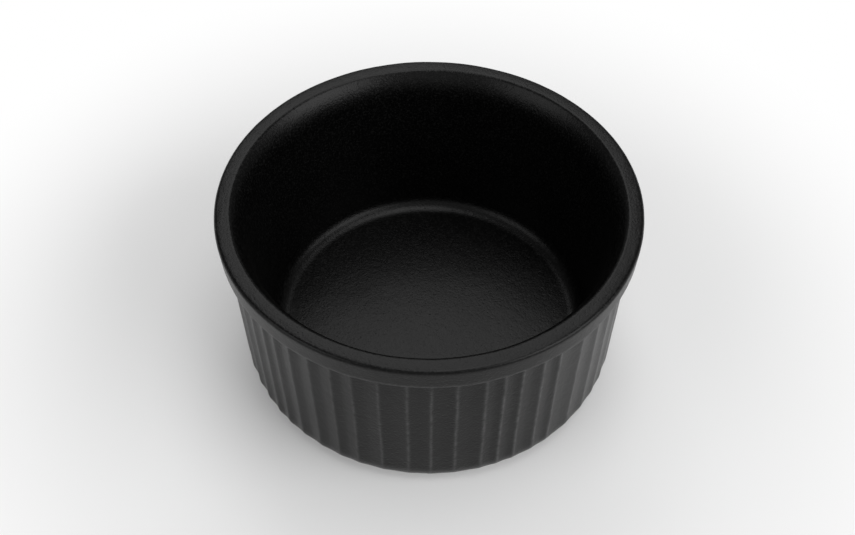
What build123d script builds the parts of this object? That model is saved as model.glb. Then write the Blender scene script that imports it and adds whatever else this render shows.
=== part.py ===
from build123d import *
import math
import os

# Ramekin: one piece of fired clay with a plain band under the rim and hollow flutes down the wall.
# Lengths are in millimetres and angles in degrees. The origin is on the axis, in the plane the foot
# stands on, and +Z is up. Azimuths are counted from the front, -Y, towards +X.

# Rim: a flat top between a rounded outer edge and a mouth that flares out to meet it
HEIGHT = 44.5
RIM_RADIUS = 45.0
RIM_FLAT_WIDTH = 1.9
RIM_OUTER_ROUND = 1.0
RIM_OUTER_STEPS = 3
MOUTH_FLARE_WIDTH = 2.7
MOUTH_FLARE_DEPTH = 4.5
MOUTH_FLARE_STEPS = 7

# Band under the rim. It is slightly narrower at its lower edge, stands out from the ridges by the
# step, and its underside slopes down and in to the flutes.
BAND_HEIGHT = 5.0
BAND_LEAN = 0.3
BAND_STEP = 1.5
BAND_UNDERSIDE_SLOPE = 50.0

# Outer wall, measured at the crests of the ridges
WALL_LEAN = 1.2

# Flutes: hollow scallops that meet in sharp ridges, as uneven as a hand-cut mould leaves them. On the
# rolled base their depth fades with a power of the way it has come out from the foot. The table
# holds the widths of neighbouring flutes, in shares of an even one, and then repeats.
FLUTE_COUNT = 56
FLUTE_DEPTH = 0.5
FLUTE_FADE_POWER = 4
FIRST_RIDGE_AZIMUTH = -57.0
FLUTE_WIDTH_SHARES = (
    0.90, 0.80, 0.90, 1.05, 1.05, 0.95, 1.15, 1.20, 1.00, 1.05, 1.20, 0.80, 0.80, 1.00,
    0.85, 1.30, 1.15, 1.00, 0.95, 1.05, 0.90, 1.05, 1.00, 0.90, 1.05, 0.95, 1.05, 0.95,
)

# Base: the wall rolls under to a flat foot ring, and the flutes fade out over the roll
BASE_ROUND = 6.3
BASE_ROUND_STEPS = 5
FOOT_RING_WIDTH = 3.0
FOOT_RECESS_DEPTH = 1.2
FOOT_RECESS_SLANT = 1.0

# Bowl: its wall tapers in to the floor, so the dish is thickest at the base
BOWL_TAPER = 3.9
BOWL_FILLET = 3.0
FLOOR_THICKNESS = 4.9

# How far cutting shapes run past what they cut
OVERRUN = 2.0

# Sizes that follow
BAND_BOTTOM = HEIGHT - BAND_HEIGHT
BAND_FOOT_RADIUS = RIM_RADIUS - BAND_LEAN
UNDERSIDE_RISE = math.tan(math.radians(BAND_UNDERSIDE_SLOPE))
RIDGE_TOP_RADIUS = BAND_FOOT_RADIUS - BAND_STEP
RIDGE_TOP_HEIGHT = BAND_BOTTOM - BAND_STEP * UNDERSIDE_RISE
BASE_RADIUS = RIDGE_TOP_RADIUS - WALL_LEAN
FOOT_RADIUS = BASE_RADIUS - BASE_ROUND
FLOOR_HEIGHT = FOOT_RECESS_DEPTH + FLOOR_THICKNESS
MOUTH_RADIUS = RIM_RADIUS - RIM_OUTER_ROUND - RIM_FLAT_WIDTH
BOWL_TOP_RADIUS = MOUTH_RADIUS - MOUTH_FLARE_WIDTH
BOWL_FLOOR_RADIUS = BOWL_TOP_RADIUS - BOWL_TAPER


def flute_spans():
    """Start, middle and end azimuth of every flute, and the cosine of half its angle."""
    widths = [FLUTE_WIDTH_SHARES[i % len(FLUTE_WIDTH_SHARES)] for i in range(FLUTE_COUNT)]
    start = FIRST_RIDGE_AZIMUTH
    for width in widths:
        span = 360 * width / sum(widths)
        yield start, start + span / 2, start + span, math.cos(math.radians(span / 2))
        start += span


def point(radius, azimuth, height):
    """Point at a radius, an azimuth from the front and a height."""
    angle = math.radians(azimuth)
    return (radius * math.sin(angle), -radius * math.cos(angle), height)


def plain_ring(radius, height):
    """Circle in one arc per flute, so that it lofts to a fluted ring ridge by ridge."""
    arcs = []
    for start, middle, end, _ in flute_spans():
        peak = point(radius, middle, height)
        arcs.append(ThreePointArc(point(radius, start, height), peak, point(radius, end, height)))
    return Wire(arcs)


def fluted_ring(radius, height, depth, rise=0):
    """Closed ring of hollow arcs, with its ridges at a radius and a height. rise is how steeply the
    ring climbs outwards, which sets its hollows lower than its ridges."""
    arcs = []
    for start, middle, end, chord in flute_spans():
        hollow_radius = radius * chord - depth
        hollow = point(hollow_radius, middle, height - (radius - hollow_radius) * rise)
        arcs.append(ThreePointArc(point(radius, start, height), hollow, point(radius, end, height)))
    return Wire(arcs)


def quarter_round(steps):
    """After each step round a quarter circle, the way gone along its first side and off that side,
    in shares of the radius."""
    for step in range(1, steps + 1):
        turn = math.radians(90 * step / steps)
        yield math.sin(turn), 1 - math.cos(turn)


def rim_edge(radius, across, drop, steps):
    """Radius and height of the points up and over one rounded edge of the rim. It starts at a radius,
    a drop below the top, and ends on the top, the width across further out (further in if negative)."""
    points = [(radius, HEIGHT - drop)]
    for along, off in quarter_round(steps):
        points.append((radius + across * off, HEIGHT - drop + drop * along))
    return points


def outside():
    """The dish before it is hollowed, as one skin from the foot to the rim. The flutes deepen over
    the rolled base and end under the band in its sloped underside, where ridges climb highest."""
    rings = [plain_ring(FOOT_RADIUS, 0)]
    for along, off in quarter_round(BASE_ROUND_STEPS):
        depth = FLUTE_DEPTH * along ** FLUTE_FADE_POWER
        rings.append(fluted_ring(FOOT_RADIUS + BASE_ROUND * along, BASE_ROUND * off, depth))
    rings.append(fluted_ring(RIDGE_TOP_RADIUS, RIDGE_TOP_HEIGHT, FLUTE_DEPTH, UNDERSIDE_RISE))
    rings.append(plain_ring(BAND_FOOT_RADIUS, BAND_BOTTOM))
    for radius, height in rim_edge(RIM_RADIUS, -RIM_OUTER_ROUND, RIM_OUTER_ROUND, RIM_OUTER_STEPS):
        rings.append(plain_ring(radius, height))
    return Solid.make_loft(rings, ruled=True)


def turned(points, filleted=None, fillet_radius=0):
    """Solid turned about the axis, from an outline of radii and heights with one corner filleted."""
    section = Plane.XZ * make_face(Polyline(points, close=True))
    if filleted:
        radius, height = filleted
        corner = section.vertices().sort_by_distance((radius, 0, height))[0]
        section = fillet(corner, fillet_radius)
    return revolve(section, Axis.Z)


def bowl():
    """The hollow inside, with its flared mouth, open above the rim."""
    floor_corner = (BOWL_FLOOR_RADIUS, FLOOR_HEIGHT)
    flare = rim_edge(BOWL_TOP_RADIUS, MOUTH_FLARE_WIDTH, MOUTH_FLARE_DEPTH, MOUTH_FLARE_STEPS)
    top = HEIGHT + OVERRUN
    points = [(0, FLOOR_HEIGHT), floor_corner, *flare, (MOUTH_RADIUS, top), (0, top)]
    return turned(points, floor_corner, BOWL_FILLET)


def foot_recess():
    """The shallow recess, with a slanted side, that leaves the foot ring standing."""
    mouth_radius = FOOT_RADIUS - FOOT_RING_WIDTH
    back_radius = mouth_radius - FOOT_RECESS_SLANT
    mouth = [(0, -OVERRUN), (mouth_radius, -OVERRUN), (mouth_radius, 0)]
    return turned([*mouth, (back_radius, FOOT_RECESS_DEPTH), (0, FOOT_RECESS_DEPTH)])


os.makedirs("parts", exist_ok=True)
ramekin_body = outside() - bowl() - foot_recess()
ramekin_body.label = "ramekin_body"
export_step(ramekin_body, "parts/ramekin_body.step")
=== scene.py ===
import math

import bpy
import numpy as np
from mathutils import Euler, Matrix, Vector, noise


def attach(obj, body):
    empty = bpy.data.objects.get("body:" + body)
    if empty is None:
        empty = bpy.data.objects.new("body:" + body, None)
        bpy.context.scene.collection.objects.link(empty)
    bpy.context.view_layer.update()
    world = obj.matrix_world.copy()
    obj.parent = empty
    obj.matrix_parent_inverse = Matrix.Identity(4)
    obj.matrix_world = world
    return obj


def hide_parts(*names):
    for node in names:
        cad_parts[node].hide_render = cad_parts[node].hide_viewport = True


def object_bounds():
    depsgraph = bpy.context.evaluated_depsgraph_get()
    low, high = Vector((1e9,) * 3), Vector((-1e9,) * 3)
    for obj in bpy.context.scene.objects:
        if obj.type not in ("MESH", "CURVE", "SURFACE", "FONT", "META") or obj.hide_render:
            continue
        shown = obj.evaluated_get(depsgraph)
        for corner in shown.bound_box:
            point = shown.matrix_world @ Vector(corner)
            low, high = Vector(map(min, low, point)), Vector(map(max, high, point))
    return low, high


# A matt black fluted ramekin on a pale floor. Lengths are in metres. The dish stands on z = 0 with
# its axis on Z, and azimuths are counted from the front, -Y, towards +X.
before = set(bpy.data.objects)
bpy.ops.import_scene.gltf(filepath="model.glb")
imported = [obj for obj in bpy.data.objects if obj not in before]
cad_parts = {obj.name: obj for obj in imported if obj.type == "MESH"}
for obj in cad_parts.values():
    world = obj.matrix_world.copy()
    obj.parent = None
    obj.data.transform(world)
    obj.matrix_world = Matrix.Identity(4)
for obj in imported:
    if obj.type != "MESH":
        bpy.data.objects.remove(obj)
CAD_LOW, CAD_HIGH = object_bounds()
MM = 0.001

# Rim: a nearly flat top with a rounded outer edge, a mouth that sweeps down and in from it, and the
# band below
HEIGHT = CAD_HIGH[2]
RIM_RADIUS = round(CAD_HIGH[0] / MM, 1) * MM
RIM_TOP_WIDTH = 2.9 * MM
RIM_CROWN_WIDTH = 1.8 * MM
RIM_CROWN_ROUND = 8.0 * MM
RIM_CROWN_SLOPE = math.radians(2.5)
RIM_EDGE_ROUND = 0.8 * MM
MOUTH_EDGE_ROUND = 1.1 * MM
MOUTH_SWEEP_RADIUS = 11.0 * MM
MOUTH_SWEEP_START = math.radians(50)
MOUTH_SWEEP_END = math.radians(84)
BAND_HEIGHT = 5.0 * MM
BAND_LEAN = 0.3 * MM
BAND_STEP = 1.5 * MM
BAND_EDGE_ROUND = 0.35 * MM
UNDERSIDE_SLOPE = math.radians(50)
UNDERSIDE_FILLET = 0.45 * MM

# Outer wall at the crests of its ridges, and the rolled base
WALL_LEAN = 1.2 * MM
BASE_ROUND = 6.3 * MM
FOOT_RING_WIDTH = 3.0 * MM
FOOT_EDGE_ROUND = 0.3 * MM
RECESS_DEPTH = 1.2 * MM
RECESS_SLANT = 1.0 * MM
RECESS_ROUND = 0.6 * MM
MIDDLE_RADIUS = 0.4 * MM

# Edge of the glaze: how far up the rolled base it starts, and how unevenly
GLAZE_LINE_ANGLE = math.radians(18)
GLAZE_LINE_WAVE = 0.25
GLAZE_LINE_WAVE_SIZE = 0.12
GLAZE_LINE_SEED = 11

# Flutes: the widths of neighbouring ones, in shares of an even one, repeat round the wall. Their depth
# and the softness of their ridges swing by a share, from most at one azimuth to least opposite it.
FLUTE_COUNT = 56
FLUTE_DEPTH = 0.32 * MM
FLUTE_SWING = 0.35
DEEPEST_FLUTE_AZIMUTH = math.radians(-80)
FLUTE_FADE_POWER = 7
FIRST_RIDGE_AZIMUTH = math.radians(-57)
FLUTE_WIDTH_SHARES = (
    0.90, 0.80, 0.90, 1.05, 1.05, 0.95, 1.15, 1.20, 1.00, 1.05, 1.20, 0.80, 0.80, 1.00,
    0.85, 1.30, 1.15, 1.00, 0.95, 1.05, 0.90, 1.05, 1.00, 0.90, 1.05, 0.95, 1.05, 0.95,
)
RIDGE_SOFTNESS = 0.30 * MM
SOFTNESS_WAVE = 0.6
SOFTNESS_WAVE_FLUTES = 1.7
SOFTNESS_SEED = 3
RIDGE_WANDER = 0.14 * MM
WANDERS_ROUND_WALL = 9
WANDER_LENGTH = 11 * MM

# Bowl
BOWL_FLOOR_RADIUS = 35.5 * MM
BOWL_FILLET = 3.6 * MM
FLOOR_THICKNESS = 4.9 * MM

# Unevenness of the clay under the glaze, and of the band's lower edge
LIP_WAVE = 0.14 * MM
LIP_WAVE_SIZE = 0.15
LIP_SEED = 5
SWELL_SIZE = 9.0 * MM
SWELL_DEPTH = 0.05 * MM
DIMPLE_SIZE = 2.2 * MM
DIMPLE_DEPTH = 0.015 * MM
CLEAR_OF_BOX = 0.03 * MM
SEED_SKEW = 2.7

# The glaze runs thinner and greyer on the ridges, and less so on the band's lower edge. On the ridges
# the grey is also painted highlight: it is strongest round one azimuth, on the side where the light
# grazes the crests, and a fifth of that opposite it.
EDGE_GLAZE_AND_HIGHLIGHT_REACH = 0.34 * MM
LIP_SHARE = 0.5
PAINTED_RIDGE_HIGHLIGHT_SWING = 0.4
BRIGHTEST_PAINTED_RIDGE_AZIMUTH = math.radians(80)

# Mesh fineness: columns crowd towards the ridges, and the last rows of the foot are bare clay
COLUMNS_PER_FLUTE = 16
RIDGE_CROWDING = 1.6
CLAY_ROWS = 6
BASE_ROUND_STEPS = 10
MOUTH_EDGE_STEPS = 6
MOUTH_SWEEP_STEPS = 12

# Sizes that follow
BAND_BOTTOM = HEIGHT - BAND_HEIGHT
BAND_FOOT_RADIUS = RIM_RADIUS - BAND_LEAN
UNDERSIDE_RISE = math.tan(UNDERSIDE_SLOPE)
RIDGE_TOP_RADIUS = BAND_FOOT_RADIUS - BAND_STEP
RIDGE_TOP_HEIGHT = BAND_BOTTOM - BAND_STEP * UNDERSIDE_RISE
BASE_RADIUS = RIDGE_TOP_RADIUS - WALL_LEAN
FOOT_RADIUS = BASE_RADIUS - BASE_ROUND
WALL_SLOPE = WALL_LEAN / (RIDGE_TOP_HEIGHT - BASE_ROUND)
FLOOR_HEIGHT = RECESS_DEPTH + FLOOR_THICKNESS
MOUTH_RADIUS = RIM_RADIUS - RIM_TOP_WIDTH
RIM_EDGE_HEIGHT = HEIGHT - RIM_CROWN_WIDTH * math.tan(RIM_CROWN_SLOPE)


def wave(position, size, seed):
    """Smooth noise from -1 to 1 along a line or a closed loop, with bumps of about a given size."""
    return noise.noise(Vector(position) / size + Vector((seed, SEED_SKEW * seed, -seed)))


def ridges():
    """Azimuth and softness of every ridge, once round and back to the first."""
    widths = [FLUTE_WIDTH_SHARES[i % len(FLUTE_WIDTH_SHARES)] for i in range(FLUTE_COUNT)]
    azimuths = [FIRST_RIDGE_AZIMUTH]
    for width in widths:
        azimuths.append(azimuths[-1] + 2 * math.pi * width / sum(widths))
    softness = []
    for ridge in range(FLUTE_COUNT):
        change = SOFTNESS_WAVE * wave((ridge, 0, 0), SOFTNESS_WAVE_FLUTES, SOFTNESS_SEED)
        softness.append(RIDGE_SOFTNESS * (1 + change))
    return np.array(azimuths), np.array(softness + softness[:1])


def columns():
    """For every column of the mesh: its flute, how far across it the column lies, and its azimuth."""
    half = COLUMNS_PER_FLUTE // 2
    rising = 0.5 * (np.arange(half) / half) ** RIDGE_CROWDING
    across = np.concatenate([rising, [0.5], 1 - rising[:0:-1]])
    azimuths, _ = ridges()
    flute = np.repeat(np.arange(FLUTE_COUNT), COLUMNS_PER_FLUTE)
    across = np.tile(across, FLUTE_COUNT)
    azimuth = azimuths[flute] * (1 - across) + azimuths[flute + 1] * across
    return flute, across, azimuth


def flute_hollows(flute, across, azimuth):
    """How deep the wall is hollowed at every column, as an arc between two softened ridges, and how
    grey the crest line is there: glaze running thinner, plus painted highlight made strongest on the
    side the light grazes."""
    azimuths, softness = ridges()
    width = (azimuths[flute + 1] - azimuths[flute]) * RIDGE_TOP_RADIUS
    swing = 1 + FLUTE_SWING * np.cos(azimuth - DEEPEST_FLUTE_AZIMUTH)
    soft = np.where(across < 0.5, softness[flute], softness[flute + 1]) * swing
    reach = np.minimum(across, 1 - across) * width
    crest_glaze_and_highlight = np.exp(-(reach / EDGE_GLAZE_AND_HIGHLIGHT_REACH) ** 2)
    # Painted highlight: the crest lines are strongest round the lit side, where the light grazes the
    # crests, and a fifth of that opposite it.
    crest_glaze_and_highlight *= 1 - PAINTED_RIDGE_HIGHLIGHT_SWING + PAINTED_RIDGE_HIGHLIGHT_SWING * np.cos(azimuths[flute] - BRIGHTEST_PAINTED_RIDGE_AZIMUTH)
    reach = np.sqrt(reach ** 2 + soft ** 2) - soft
    return 4 * FLUTE_DEPTH * swing * (reach / width) * (1 - reach / width), crest_glaze_and_highlight


def outline(stations, width):
    """Rows of points along corners given as radius, height, rounding, steps round it and steps along
    the straight run after it. Radius and height may differ from column to column."""
    points = [np.stack(np.broadcast_arrays(s[0], s[1], np.zeros(width))[:2]) for s in stations]
    rows = []
    run = 0
    for i, (_, _, rounding, turn_steps, run_steps) in enumerate(stations):
        arc = [points[i]]
        if rounding:
            before = points[i] - points[i - 1]
            after = points[i + 1] - points[i]
            before = before / np.linalg.norm(before, axis=0)
            after = after / np.linalg.norm(after, axis=0)
            cross = before[0] * after[1] - before[1] * after[0]
            turn = np.arctan2(np.abs(cross), (before * after).sum(0))
            inward = np.sign(cross) * np.stack([-before[1], before[0]])
            start = points[i] - before * rounding * np.tan(turn / 2)
            centre = start + inward * rounding
            angles = [turn * k / turn_steps for k in range(turn_steps + 1)]
            arc = [centre + rounding * (before * np.sin(a) - inward * np.cos(a)) for a in angles]
        if rows:
            last = rows[-1]
            rows += [last + (arc[0] - last) * k / run for k in range(1, run)]
        rows += arc
        run = run_steps
    return rows


def foot_rows(width):
    """Rows from the middle of the underside, down the side of the recess and across the foot ring."""
    recess_radius = FOOT_RADIUS - FOOT_RING_WIDTH
    return outline(
        [
            (MIDDLE_RADIUS, RECESS_DEPTH, 0, 0, 16),
            (recess_radius - RECESS_SLANT, RECESS_DEPTH, RECESS_ROUND, 3, 2),
            (recess_radius, 0, FOOT_EDGE_ROUND, 3, 4),
            (FOOT_RADIUS, 0, 0, 0, 0),
        ],
        width,
    )


def base_rows(hollow, circle):
    """Rows up the rolled base, from the uneven edge of the glaze to the wall."""
    unevenness = np.array([wave(place, GLAZE_LINE_WAVE_SIZE, GLAZE_LINE_SEED) for place in circle])
    glaze_line = GLAZE_LINE_ANGLE * (1 + GLAZE_LINE_WAVE * unevenness)
    rows = []
    for step in range(BASE_ROUND_STEPS + 1):
        turn = glaze_line + (math.pi / 2 - glaze_line) * step / BASE_ROUND_STEPS
        out = np.sin(turn)
        radius = FOOT_RADIUS + BASE_ROUND * out - hollow * out ** FLUTE_FADE_POWER
        rows.append(np.stack([radius, BASE_ROUND * (1 - np.cos(turn))]))
    return rows


def wall_rows(hollow, circle):
    """Rows up the fluted wall, out under the band, and over the rim's top to the edge of the mouth.
    The flutes seat in the band's sloped underside, so ridges climb higher than hollows."""
    unevenness = np.array([wave(place, LIP_WAVE_SIZE, LIP_SEED) for place in circle])
    lip = BAND_BOTTOM + LIP_WAVE * unevenness
    step_in = BAND_FOOT_RADIUS - RIDGE_TOP_RADIUS + hollow
    seat = lip - UNDERSIDE_RISE * (step_in + WALL_SLOPE * RIDGE_TOP_HEIGHT)
    seat = seat / (1 - UNDERSIDE_RISE * WALL_SLOPE)
    seat_radius = RIDGE_TOP_RADIUS - hollow + WALL_SLOPE * (seat - RIDGE_TOP_HEIGHT)
    return outline(
        [
            (BASE_RADIUS - hollow, BASE_ROUND, 0, 0, 36),
            (seat_radius, seat, UNDERSIDE_FILLET, 4, 3),
            (BAND_FOOT_RADIUS, lip, BAND_EDGE_ROUND, 5, 6),
            (RIM_RADIUS, RIM_EDGE_HEIGHT, RIM_EDGE_ROUND, 8, 2),
            (RIM_RADIUS - RIM_CROWN_WIDTH, HEIGHT, RIM_CROWN_ROUND, 4, 3),
            (MOUTH_RADIUS, HEIGHT, 0, 0, 0),
        ],
        len(hollow),
    )


def bowl_rows(width):
    """Rows down the mouth, which turns in two arcs, then down the bowl's wall and across its floor."""
    radius, height = MOUTH_RADIUS, HEIGHT
    turned = 0.0
    rows = []
    for rounding, end, steps in (
        (MOUTH_EDGE_ROUND, MOUTH_SWEEP_START, MOUTH_EDGE_STEPS),
        (MOUTH_SWEEP_RADIUS, MOUTH_SWEEP_END, MOUTH_SWEEP_STEPS),
    ):
        for step in range(steps):
            turn = turned + (end - turned) / (steps - step)
            radius -= rounding * (math.sin(turn) - math.sin(turned))
            height -= rounding * (math.cos(turned) - math.cos(turn))
            turned = turn
            rows.append(np.stack([np.full(width, radius), np.full(width, height)]))
    inside = outline(
        [
            (radius, height, 0, 0, 36),
            (BOWL_FLOOR_RADIUS, FLOOR_HEIGHT, BOWL_FILLET, 12, 40),
            (MIDDLE_RADIUS, FLOOR_HEIGHT, 0, 0, 0),
        ],
        width,
    )
    return rows + inside[1:]


def dish_rows(azimuth, hollow):
    """Every row of the dish from the middle of its underside to the middle of its floor, and the
    number of the first row above the foot."""
    circle = [(math.sin(a), math.cos(a), 0) for a in azimuth]
    rows = foot_rows(len(azimuth))
    foot_end = len(rows)
    rows += base_rows(hollow, circle)
    rows += wall_rows(hollow, circle)[1:]
    rows += bowl_rows(len(azimuth))
    return rows, foot_end


def thin_glaze_and_ridge_highlight(rows, first, crest_glaze_and_highlight):
    """How far the glaze greys at every vertex, from glaze run thinner on edges and, on the ridges'
    crests, painted highlight strongest on the lit side. From the first row to the rim it greys on the
    crests of the ridges, less so over the rolled base, and along the band's lower edge."""
    radius, height = np.array(rows).transpose(1, 0, 2)
    outside = slice(first, height.max(1).argmax())
    crest = crest_glaze_and_highlight * (height[outside] / BASE_ROUND).clip(0, 1) * (height[outside] < BAND_BOTTOM)
    lip = LIP_SHARE * np.exp(-((height[outside] - BAND_BOTTOM) / EDGE_GLAZE_AND_HIGHLIGHT_REACH) ** 2)
    lip *= radius[outside] > BAND_FOOT_RADIUS - BAND_EDGE_ROUND
    # Greyer edges: thinner glaze, and on the ridge crests also painted highlight.
    glaze = np.zeros(height.shape)
    glaze[outside] = np.maximum(crest, lip)
    return glaze


def ridge_wander(azimuth, height):
    """Azimuth by which a hand-cut ridge strays at a height."""
    east = WANDERS_ROUND_WALL * math.sin(azimuth)
    north = WANDERS_ROUND_WALL * math.cos(azimuth)
    stray = noise.noise(Vector((east, north, height / WANDER_LENGTH)))
    return RIDGE_WANDER * stray / RIDGE_TOP_RADIUS


def dish_points(rows, azimuth):
    """Every vertex of the dish, row by row, then the middles of the underside and of the floor."""
    points = []
    for radius, height in rows:
        for r, z, a in zip(radius, height, azimuth):
            a += ridge_wander(a, z)
            points.append((r * math.sin(a), -r * math.cos(a), z))
    points.append((0, 0, RECESS_DEPTH))
    points.append((0, 0, FLOOR_HEIGHT))
    return points


def dish_faces(row_count, width):
    """Quads between neighbouring rows and columns, then a fan over each middle."""
    faces = []
    for row in range(row_count - 1):
        for column in range(width):
            beside = (column + 1) % width
            low = row * width
            high = low + width
            faces.append((low + column, low + beside, high + beside, high + column))
    underside_middle = row_count * width
    last = (row_count - 1) * width
    for column in range(width):
        beside = (column + 1) % width
        faces.append((underside_middle, beside, column))
        faces.append((underside_middle + 1, last + column, last + beside))
    return faces


def roughen(mesh):
    """Moves every vertex a little along its normal, as clay and thick glaze are never quite even,
    and keeps the dish inside its box and flat where it stands."""
    places = np.empty(3 * len(mesh.vertices))
    normals = np.empty(3 * len(mesh.vertices))
    mesh.vertices.foreach_get("co", places)
    mesh.vertices.foreach_get("normal", normals)
    places = places.reshape(-1, 3)
    swell = np.array([noise.noise(p / SWELL_SIZE) for p in places])
    dimple = np.array([noise.noise(p / DIMPLE_SIZE) for p in places])
    places += normals.reshape(-1, 3) * (swell * SWELL_DEPTH + dimple * DIMPLE_DEPTH)[:, None]
    places[:, 2] = places[:, 2].clip(0, HEIGHT)
    spread = np.hypot(places[:, 0], places[:, 1])
    places[:, :2] *= np.minimum(1, (RIM_RADIUS - CLEAR_OF_BOX) / spread.clip(MM))[:, None]
    mesh.vertices.foreach_set("co", places.ravel())


def make_dish():
    """The whole dish as one mesh, glazed all over but for the foot ring."""
    flute, across, azimuth = columns()
    hollow, crest_glaze_and_highlight = flute_hollows(flute, across, azimuth)
    rows, foot_end = dish_rows(azimuth, hollow)
    width = len(azimuth)
    mesh = bpy.data.meshes.new("ramekin")
    mesh.from_pydata(dish_points(rows, azimuth), [], dish_faces(len(rows), width))
    roughen(mesh)
    middles = [0, 0]
    # Greyer edges: thinner glaze, and on the ridge crests also painted highlight, strongest on the lit
    # side.
    glaze = [*thin_glaze_and_ridge_highlight(rows, foot_end, crest_glaze_and_highlight).ravel(), *middles]
    mesh.attributes.new("thin_glaze_and_ridge_highlight", "FLOAT", "POINT").data.foreach_set("value", glaze)
    mesh.materials.append(matt_black_glaze())
    mesh.materials.append(bare_clay())
    clay = np.zeros(len(mesh.polygons), np.int32)
    clay[(foot_end - CLAY_ROWS) * width:foot_end * width] = 1
    mesh.polygons.foreach_set("material_index", clay)
    mesh.polygons.foreach_set("use_smooth", np.ones(len(mesh.polygons), bool))
    mesh.update()
    dish = bpy.data.objects.new("ramekin", mesh)
    bpy.context.scene.collection.objects.link(dish)
    return dish


def new_material(name):
    """A new material with its shader, a function that adds a node and links to it, and one that
    links to the shader."""
    material = bpy.data.materials.new(name)
    material.use_nodes = True
    tree = material.node_tree
    shader = tree.nodes["Principled BSDF"]

    def add(kind, links=(), **settings):
        node = tree.nodes.new(kind)
        for key, value in settings.items():
            if hasattr(node, key):
                setattr(node, key, value)
            else:
                node.inputs[key.replace("_", " ").title()].default_value = value
        for socket, source in links:
            tree.links.new(source, node.inputs[socket])
        return node

    def link(source, socket):
        tree.links.new(source, shader.inputs[socket])

    return material, shader, add, link


def grain(add, place, size, detail=2.0):
    """Noise from 0 to 1 with bumps of a given size on the object."""
    links = [("Vector", place.outputs["Object"])]
    return add("ShaderNodeTexNoise", links, scale=1 / size, detail=detail).outputs["Fac"]


def remap(add, value, before, after, **settings):
    """Spreads a value from one pair of limits to another."""
    node = add("ShaderNodeMapRange", [("Value", value)], **settings)
    node.inputs["From Min"].default_value = before[0]
    node.inputs["From Max"].default_value = before[1]
    node.inputs["To Min"].default_value = after[0]
    node.inputs["To Max"].default_value = after[1]
    return node.outputs["Result"]


def product(add, one, other):
    """One value times another."""
    return add("ShaderNodeMath", [(0, one), (1, other)], operation="MULTIPLY").outputs["Value"]


def bumps(add, height, depth, under=None, inward=False):
    """Direction of the surface with bumps of a given depth, laid over other bumps if there are any.
    Inward bumps are pits."""
    links = [("Height", height)]
    if under is not None:
        links.append(("Normal", under))
    node = add("ShaderNodeBump", links, invert=inward)
    node.inputs["Strength"].default_value = 1.0
    node.inputs["Distance"].default_value = depth
    return node.outputs["Normal"]


# Middle part of a noise's range, where nearly all of it lies
USUAL_NOISE = (0.3, 0.7)

# Glaze: fine pebbles over a slower ripple and shallow pits, with grey specks on the highest pebbles
PEBBLE_SIZE = 0.42 * MM
PEBBLE_DEPTH = 0.045 * MM
RIPPLE_SIZE = 1.5 * MM
RIPPLE_DEPTH = 0.03 * MM
PIT_SIZE = 0.7 * MM
PIT_DEPTH = 0.02 * MM
PIT_NOISE = (0.56, 0.76)
SPECK_NOISE = (0.46, 0.72)
GLAZE_COLOUR = (0.0006, 0.0006, 0.0006, 1)
SPECK_COLOUR = (0.0060, 0.0060, 0.0059, 1)
# Grey of glaze run thinner on edges; on the ridges it is also painted highlight.
EDGE_GLAZE_AND_HIGHLIGHT_COLOUR = (0.06, 0.06, 0.06, 1)
THIN_PATCH_SIZE = 1.3 * MM
THIN_PATCHES = (0.35, 1.25)
GLAZE_ROUGHNESS = (0.30, 0.37)
GLAZE_IOR = 1.29


def matt_black_glaze():
    """Near-black glaze with a dull sheen, a pebbled and pitted skin and fine grey specks, and greyer
    where it has run thinner on edges. On the ridges that grey is also painted highlight, strongest on
    the lit side."""
    material, shader, add, link = new_material("matt_black_glaze")
    place = add("ShaderNodeTexCoord")
    pebble = grain(add, place, PEBBLE_SIZE)
    specks = remap(add, pebble, SPECK_NOISE, (0, 1), interpolation_type="SMOOTHSTEP")
    full = add("ShaderNodeMix", [("Factor", specks)], data_type="RGBA")
    full.inputs["A"].default_value = GLAZE_COLOUR
    full.inputs["B"].default_value = SPECK_COLOUR
    edge = add("ShaderNodeAttribute", attribute_name="thin_glaze_and_ridge_highlight")
    patches = remap(add, grain(add, place, THIN_PATCH_SIZE), USUAL_NOISE, THIN_PATCHES)
    # Painted highlight on the ridge crests, together with the thinner glaze on edges, broken into
    # patches.
    edge_glaze_and_highlight = product(add, edge.outputs["Fac"], patches)
    links = [("Factor", edge_glaze_and_highlight), ("A", full.outputs["Result"])]
    colour = add("ShaderNodeMix", links, data_type="RGBA")
    colour.inputs["B"].default_value = EDGE_GLAZE_AND_HIGHLIGHT_COLOUR
    link(colour.outputs["Result"], "Base Color")
    link(remap(add, pebble, USUAL_NOISE, GLAZE_ROUGHNESS), "Roughness")
    shader.inputs["IOR"].default_value = GLAZE_IOR
    rippled = bumps(add, grain(add, place, RIPPLE_SIZE), RIPPLE_DEPTH)
    pits = remap(add, grain(add, place, PIT_SIZE), PIT_NOISE, (0, 1))
    pitted = bumps(add, pits, PIT_DEPTH, under=rippled, inward=True)
    link(bumps(add, pebble, PEBBLE_DEPTH, under=pitted), "Normal")
    return material


# Bare clay
CLAY_DARK = (0.10, 0.08, 0.065, 1)
CLAY_LIGHT = (0.24, 0.20, 0.165, 1)
CLAY_ROUGHNESS = 0.85
CLAY_SPECK_SIZE = 0.5 * MM
CLAY_SPECK_DEPTH = 0.06 * MM


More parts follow.
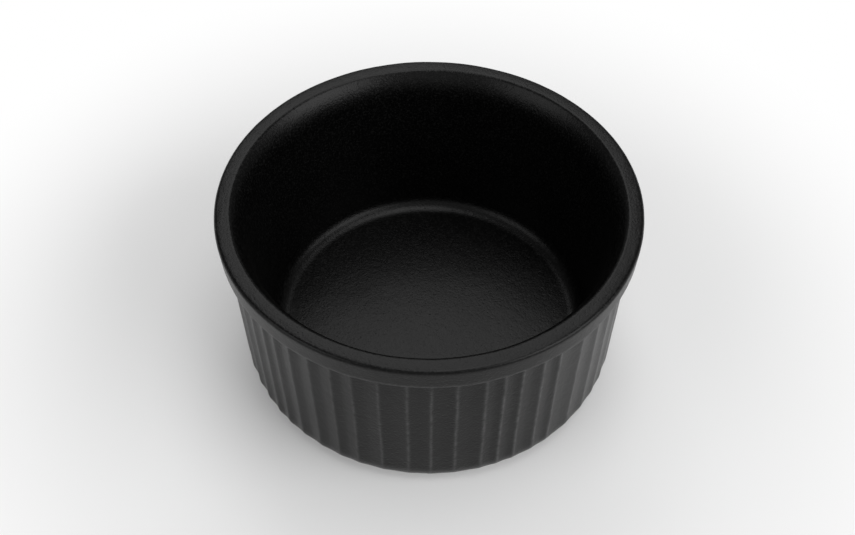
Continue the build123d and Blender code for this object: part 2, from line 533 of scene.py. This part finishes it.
def bare_clay():
    """Unglazed stoneware on the foot ring: dull, grainy and specked."""
    material, shader, add, link = new_material("bare_clay")
    specks = grain(add, add("ShaderNodeTexCoord"), CLAY_SPECK_SIZE, detail=4.0)
    colour = add("ShaderNodeMix", [("Factor", specks)], data_type="RGBA")
    colour.inputs["A"].default_value = CLAY_DARK
    colour.inputs["B"].default_value = CLAY_LIGHT
    link(colour.outputs["Result"], "Base Color")
    shader.inputs["Roughness"].default_value = CLAY_ROUGHNESS
    link(bumps(add, specks, CLAY_SPECK_DEPTH), "Normal")
    return material


# Floor: near the dish it is seen mostly as lit, and further out more and more as plain white
FLOOR_RADIUS = 5.0
FLOOR_DROP = 0.02 * MM
FLOOR_SIDES = 64
FLOOR_TONE = 0.80
WHITE_SHARE_NEAR_DISH = 0.15
WHITE_STARTS = 62 * MM
WHITE_FULL = 140 * MM

# Lights and surroundings: directions in degrees, distances and sizes in metres, power in watts
SURROUND_LEVEL = 0.18
SOFT_LIGHTS = {
    "overhead": {
        "azimuth": 90, "elevation": 82, "distance": 1.1,
        "wide": 0.95, "tall": 0.60, "power": 4.0,
    },
    "low_back": {
        "azimuth": -176, "elevation": 52, "distance": 1.1,
        "wide": 0.60, "tall": 0.70, "power": 2.3,
    },
    "key_right": {
        "azimuth": 62, "elevation": 31, "distance": 1.2,
        "wide": 1.15, "tall": 0.90, "power": 8.6,
    },
    "fill_left": {
        "azimuth": -62, "elevation": 31, "distance": 1.2,
        "wide": 0.90, "tall": 0.90, "power": 3.2,
    },
    "front": {
        "azimuth": -3, "elevation": 34, "distance": 1.2,
        "wide": 0.80, "tall": 0.80, "power": 0.8,
    },
}


def towards(azimuth, elevation):
    """Unit vector to an azimuth from the front and an elevation, in degrees."""
    a = math.radians(azimuth)
    e = math.radians(elevation)
    return Vector((math.sin(a) * math.cos(e), -math.cos(a) * math.cos(e), math.sin(e)))


def seen_as_background(tree):
    """1 for rays from the camera, gloss and glass, which see the background as white, and else 0."""
    path = tree.nodes.new("ShaderNodeLightPath")
    seen = path.outputs["Is Camera Ray"]
    for kind in ("Is Glossy Ray", "Is Transmission Ray"):
        either = tree.nodes.new("ShaderNodeMath")
        either.operation = "MAXIMUM"
        tree.links.new(seen, either.inputs[0])
        tree.links.new(path.outputs[kind], either.inputs[1])
        seen = either.outputs["Value"]
    return seen


def make_floor():
    """A wide plain floor. It keeps the dish's shadow near the dish, and further out it is seen as
    white."""
    material, shader, add, _ = new_material("pale_floor")
    shader.inputs["Base Color"].default_value = (FLOOR_TONE, FLOOR_TONE, FLOOR_TONE, 1)
    shader.inputs["Roughness"].default_value = 1.0
    shader.inputs["Specular IOR Level"].default_value = 0.0
    white = add("ShaderNodeEmission")
    place = add("ShaderNodeTexCoord")
    away = add("ShaderNodeVectorMath", [(0, place.outputs["Object"])], operation="LENGTH")
    limits = (WHITE_STARTS, WHITE_FULL)
    shares = (WHITE_SHARE_NEAR_DISH, 1)
    share = remap(add, away.outputs["Value"], limits, shares, interpolation_type="SMOOTHSTEP")
    factor = product(add, seen_as_background(material.node_tree), share)
    layers = [(0, factor), (1, shader.outputs["BSDF"]), (2, white.outputs["Emission"])]
    mixed = add("ShaderNodeMixShader", layers)
    output = material.node_tree.nodes["Material Output"]
    material.node_tree.links.new(mixed.outputs["Shader"], output.inputs["Surface"])
    corners = []
    for side in range(FLOOR_SIDES):
        turn = 2 * math.pi * side / FLOOR_SIDES
        corners.append((FLOOR_RADIUS * math.cos(turn), FLOOR_RADIUS * math.sin(turn), -FLOOR_DROP))
    mesh = bpy.data.meshes.new("floor")
    mesh.from_pydata(corners, [], [tuple(range(FLOOR_SIDES))])
    mesh.materials.append(material)
    floor = bpy.data.objects.new("floor", mesh)
    bpy.context.scene.collection.objects.link(floor)
    return floor


def make_lights():
    """Large soft lights that all face the dish."""
    for name, light in SOFT_LIGHTS.items():
        lamp = bpy.data.lights.new(name, "AREA")
        lamp.shape = "ELLIPSE"
        lamp.size = light["wide"]
        lamp.size_y = light["tall"]
        lamp.energy = light["power"]
        holder = bpy.data.objects.new(name, lamp)
        way = towards(light["azimuth"], light["elevation"])
        holder.location = way * light["distance"]
        holder.rotation_euler = way.to_track_quat("Z", "Y").to_euler()
        bpy.context.scene.collection.objects.link(holder)


def make_surroundings():
    """An even, dim white surround between the lights."""
    world = bpy.data.worlds.new("studio")
    world.use_nodes = True
    background = world.node_tree.nodes["Background"]
    background.inputs["Color"].default_value = (1, 1, 1, 1)
    background.inputs["Strength"].default_value = SURROUND_LEVEL
    bpy.context.scene.world = world


# Camera: it looks at a point on the axis, then turns by the small angles that centre the photograph
CAMERA_DISTANCE = 0.2802
CAMERA_ELEVATION = 49.44
AIM_HEIGHT = 20.25 * MM
CAMERA_TILT = math.radians(0.321)
CAMERA_PAN = math.radians(0.061)
CAMERA_ROLL = math.radians(0.250)
LENS = 52.63
SENSOR_WIDTH = 36
NEAREST_SEEN = 0.01


def make_camera():
    """Camera at the photograph's viewing angle."""
    camera = bpy.data.objects.new("camera", bpy.data.cameras.new("camera"))
    camera.data.lens = LENS
    camera.data.sensor_width = SENSOR_WIDTH
    camera.data.clip_start = NEAREST_SEEN
    way = towards(0, CAMERA_ELEVATION)
    camera.location = Vector((0, 0, AIM_HEIGHT)) + way * CAMERA_DISTANCE
    turn = way.to_track_quat("Z", "Y")
    turn @= Euler((0, CAMERA_PAN, 0)).to_quaternion()
    turn @= Euler((CAMERA_TILT, 0, 0)).to_quaternion()
    turn @= Euler((0, 0, CAMERA_ROLL)).to_quaternion()
    camera.rotation_euler = turn.to_euler()
    bpy.context.scene.collection.objects.link(camera)
    bpy.context.scene.camera = camera


make_camera()
ramekin = make_dish()
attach(ramekin, "root")
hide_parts("ramekin_body")
make_floor()
make_lights()
make_surroundings()
bpy.context.scene.view_settings.view_transform = "Standard"
